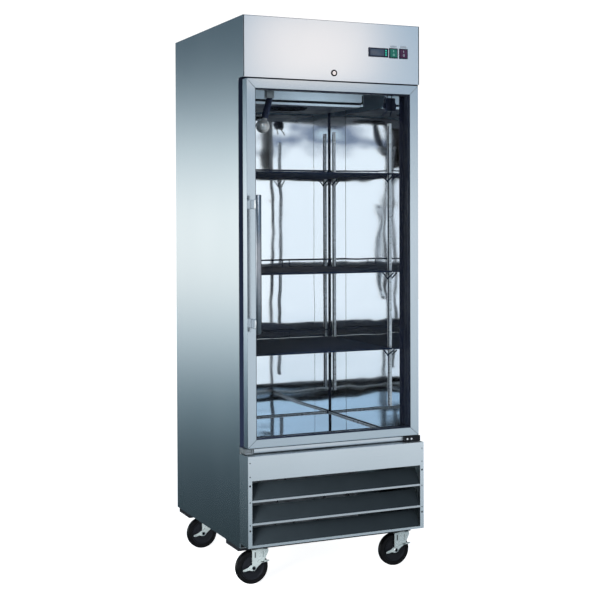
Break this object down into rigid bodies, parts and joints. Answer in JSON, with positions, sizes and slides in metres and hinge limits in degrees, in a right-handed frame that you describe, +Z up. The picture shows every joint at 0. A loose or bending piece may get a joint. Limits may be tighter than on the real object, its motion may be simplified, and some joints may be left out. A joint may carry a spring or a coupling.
{
  "type": "reach-in refrigerator",
  "caption": "Upright commercial reach-in refrigerator: glass door hinged on the right, wire shelves, bottom condensing unit behind a louvred grille, braked swivel casters.",
  "frame": {"origin": "on the floor, under the centre of the whole object's bounding box", "axes": "+Z up, +X to the right when facing the door, the door faces -Y"},
  "size_m": [0.737, 0.865, 2.128],
  "materials": {
    "brushed_steel": "vertically brushed stainless sheet, satin",
    "polished_steel": "polished stainless, near mirror",
    "galvanised_steel": "galvanised sheet, dull",
    "zinc_plate": "bright zinc plate",
    "chrome": "bright chrome plate",
    "black_paint": "semi-gloss black powder coat",
    "slate_paint": "dark slate paint",
    "black_plastic": "black moulded plastic",
    "door_seal": "soft black magnetic door seal",
    "wheel_rubber": "black polyurethane tread",
    "polyurethane_foam": "foamed-in-place insulation",
    "door_glass": "clear insulated glass",
    "green_lens": "green illuminated rocker",
    "red_lens": "dark red illuminated rocker",
    "aluminium_fins": "bare aluminium"
  },
  "bodies": {
    "cabinet": {"back_panel": "brushed_steel", "base_pan": "galvanised_steel", "bottom_hinge_bracket": "black_paint", "breaker_strip": "black_plastic", "compressor": "black_paint", "condenser_coil": "aluminium_fins", "condenser_fan_shroud": "black_paint", "cord_gland": "black_plastic", "cross_channel_front": "black_paint", "cross_channel_rear": "black_paint", "evaporator_cover": "brushed_steel", "evaporator_fan_motor": "black_plastic", "grille_frame": "brushed_steel", "header_fascia": "brushed_steel", "inner_liner": "polished_steel", "insulation": "polyurethane_foam", "interior_lamp": "chrome", "lock_body": "chrome", "louvre_blade_lower": "slate_paint", "louvre_blade_middle": "slate_paint", "louvre_blade_upper": "slate_paint", "pilaster_left_front": "galvanised_steel", "pilaster_left_rear": "galvanised_steel", "pilaster_right_front": "galvanised_steel", "pilaster_right_rear": "galvanised_steel", "rear_vent_guard": "galvanised_steel", "side_panel_left": "brushed_steel", "side_panel_right": "brushed_steel", "sill_rail": "brushed_steel", "switch_housing": "black_plastic", "thermostat": "black_plastic", "top_hinge_bracket": "black_paint", "top_panel": "brushed_steel", "wire_shelf_lower": "black_paint", "wire_shelf_middle": "black_paint", "wire_shelf_upper": "black_paint"},
    "door": {"door_frame": "brushed_steel", "door_glass": "door_glass", "door_inner_frame": "black_plastic", "door_gasket": "door_seal", "handle_tube": "polished_steel", "handle_post_upper": "brushed_steel", "handle_post_lower": "brushed_steel"},
    "lock_cylinder": {"lock_plug": "chrome"},
    "light_switch": {"light_switch_rocker": "green_lens"},
    "power_switch": {"power_switch_rocker": "red_lens"},
    "condenser_fan": {"condenser_fan_blade": "aluminium_fins"},
    "evaporator_fan": {"evaporator_fan_blade": "black_plastic"},
    "fork_front_left": {"caster_fork_front_left": "zinc_plate"},
    "wheel_front_left": {"caster_wheel_front_left": "wheel_rubber"},
    "brake_front_left": {"caster_brake_front_left": "zinc_plate"},
    "fork_front_right": {"caster_fork_front_right": "zinc_plate"},
    "wheel_front_right": {"caster_wheel_front_right": "wheel_rubber"},
    "brake_front_right": {"caster_brake_front_right": "zinc_plate"},
    "fork_rear_left": {"caster_fork_rear_left": "zinc_plate"},
    "wheel_rear_left": {"caster_wheel_rear_left": "wheel_rubber"},
    "brake_rear_left": {"caster_brake_rear_left": "zinc_plate"},
    "fork_rear_right": {"caster_fork_rear_right": "zinc_plate"},
    "wheel_rear_right": {"caster_wheel_rear_right": "wheel_rubber"},
    "brake_rear_right": {"caster_brake_rear_right": "zinc_plate"}
  },
  "joints": [
    {"name": "door_hinge", "type": "hinge", "parent": "cabinet", "child": "door", "pos_m": [0.345, -0.3375, 1.212], "axis": [0, 0, 1], "range_deg": [0, 110]},
    {"name": "lock_turn", "type": "hinge", "parent": "cabinet", "child": "lock_cylinder", "pos_m": [0, -0.3565, 1.93], "axis": [0, 1, 0], "range_deg": [0, 90]},
    {"name": "light_switch_rock", "type": "hinge", "parent": "cabinet", "child": "light_switch", "pos_m": [0.2545, -0.355, 2.0175], "axis": [1, 0, 0], "range_deg": [0, 12]},
    {"name": "power_switch_rock", "type": "hinge", "parent": "cabinet", "child": "power_switch", "pos_m": [0.2985, -0.355, 2.0175], "axis": [1, 0, 0], "range_deg": [0, 12]},
    {"name": "condenser_fan_spin", "type": "hinge", "parent": "cabinet", "child": "condenser_fan", "pos_m": [-0.09, -0.2245, 0.302], "axis": [0, 1, 0], "continuous": true},
    {"name": "evaporator_fan_spin", "type": "hinge", "parent": "cabinet", "child": "evaporator_fan", "pos_m": [0, 0.0975, 1.85], "axis": [0, 0, 1], "continuous": true},
    {"name": "swivel_front_left", "type": "hinge", "parent": "cabinet", "child": "fork_front_left", "pos_m": [-0.274, -0.2555, 0.13], "axis": [0, 0, 1], "continuous": true},
    {"name": "roll_front_left", "type": "hinge", "parent": "fork_front_left", "child": "wheel_front_left", "pos_m": [-0.304, -0.2555, 0.0635], "axis": [0, 1, 0], "continuous": true},
    {"name": "brake_pedal_front_left", "type": "hinge", "parent": "fork_front_left", "child": "brake_front_left", "pos_m": [-0.304, -0.2555, 0.0635], "axis": [0, 1, 0], "range_deg": [0, 15]},
    {"name": "swivel_front_right", "type": "hinge", "parent": "cabinet", "child": "fork_front_right", "pos_m": [0.334, -0.2555, 0.13], "axis": [0, 0, 1], "continuous": true},
    {"name": "roll_front_right", "type": "hinge", "parent": "fork_front_right", "child": "wheel_front_right", "pos_m": [0.304, -0.2555, 0.0635], "axis": [0, 1, 0], "continuous": true},
    {"name": "brake_pedal_front_right", "type": "hinge", "parent": "fork_front_right", "child": "brake_front_right", "pos_m": [0.304, -0.2555, 0.0635], "axis": [0, 1, 0], "range_deg": [0, 15]},
    {"name": "swivel_rear_left", "type": "hinge", "parent": "cabinet", "child": "fork_rear_left", "pos_m": [-0.274, 0.3085, 0.13], "axis": [0, 0, 1], "continuous": true},
    {"name": "roll_rear_left", "type": "hinge", "parent": "fork_rear_left", "child": "wheel_rear_left", "pos_m": [-0.304, 0.3085, 0.0635], "axis": [0, 1, 0], "continuous": true},
    {"name": "brake_pedal_rear_left", "type": "hinge", "parent": "fork_rear_left", "child": "brake_rear_left", "pos_m": [-0.304, 0.3085, 0.0635], "axis": [0, 1, 0], "range_deg": [0, 15]},
    {"name": "swivel_rear_right", "type": "hinge", "parent": "cabinet", "child": "fork_rear_right", "pos_m": [0.334, 0.3085, 0.13], "axis": [0, 0, 1], "continuous": true},
    {"name": "roll_rear_right", "type": "hinge", "parent": "fork_rear_right", "child": "wheel_rear_right", "pos_m": [0.304, 0.3085, 0.0635], "axis": [0, 1, 0], "continuous": true},
    {"name": "brake_pedal_rear_right", "type": "hinge", "parent": "fork_rear_right", "child": "brake_rear_right", "pos_m": [0.304, 0.3085, 0.0635], "axis": [0, 1, 0], "range_deg": [0, 15]}
  ]
}
